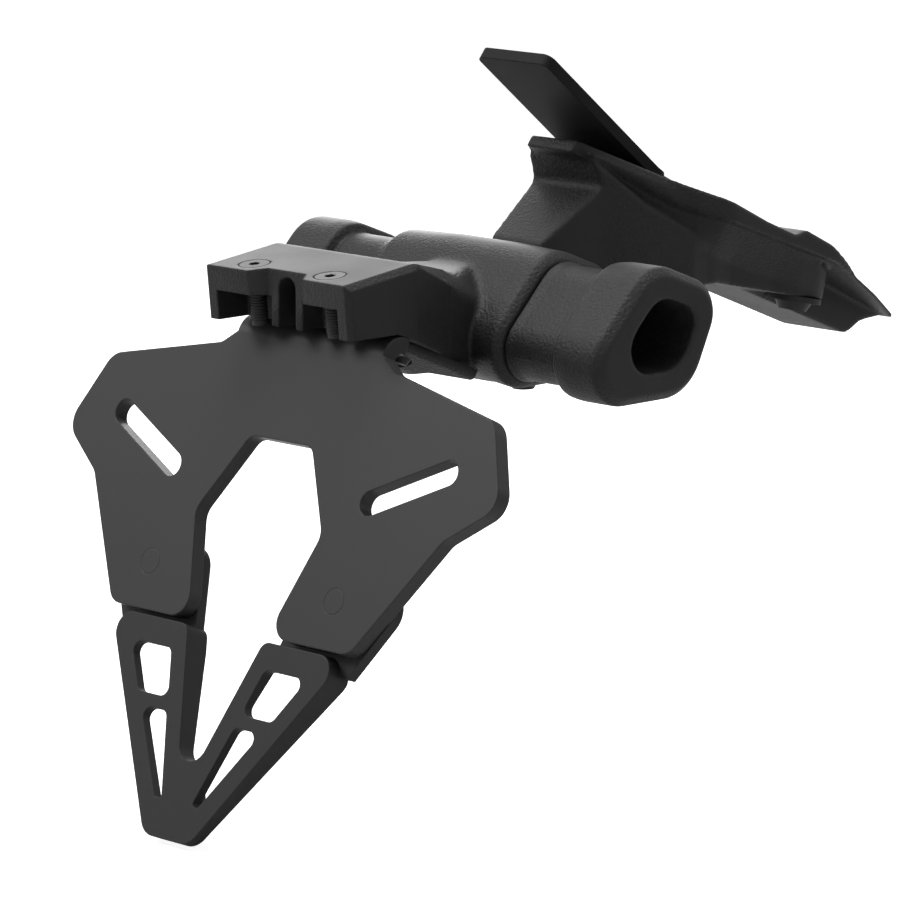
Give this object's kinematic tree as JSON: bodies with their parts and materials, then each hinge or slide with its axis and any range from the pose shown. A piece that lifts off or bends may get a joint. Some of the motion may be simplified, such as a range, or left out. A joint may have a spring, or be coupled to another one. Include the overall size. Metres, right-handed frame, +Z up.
{
  "type": "motorbike tail tidy",
  "caption": "Tail tidy: a cut-out number plate bracket with forked lower extension on a moulded arm with a cross tube for indicators and a bolt-on base.",
  "frame": {"origin": "middle between the two base bolts, on the plane of the collars that meet the motorbike", "axes": "+X to the rider's right, +Y forward along the motorbike, +Z up; the number plate faces -Y and leans back at its foot"},
  "size_m": [0.149, 0.245, 0.1797],
  "materials": {
    "bracket_coat": "satin powder coat on aluminium",
    "extension_moulding": "smooth satin glass-filled nylon",
    "grained_moulding": "fine leather grain, glass-filled nylon",
    "stud_metal": "coated with the bracket",
    "black_steel": "black zinc",
    "zinc_steel": "zinc plated",
    "insert_brass": "plain"
  },
  "bodies": {
    "root": {"number_plate_bracket": "bracket_coat", "lower_extension": "extension_moulding", "extension_studs": "stud_metal", "extension_washers": "black_steel", "extension_nuts": "black_steel", "main_body": "grained_moulding", "under_cover": "grained_moulding", "cover_screws": "black_steel", "bracket_bolts": "black_steel", "bracket_washers": "black_steel", "bracket_inserts": "insert_brass", "lamp_screws": "black_steel", "lamp_inserts": "insert_brass", "indicator_mount_left": "grained_moulding", "indicator_mount_right": "grained_moulding", "indicator_mount_screws": "black_steel", "base_bolts": "black_steel", "base_washers": "black_steel", "base_sleeves": "zinc_steel", "top_tab_plate": "bracket_coat", "tab_plate_screws": "black_steel", "tab_plate_inserts": "insert_brass"}
  },
  "joints": []
}
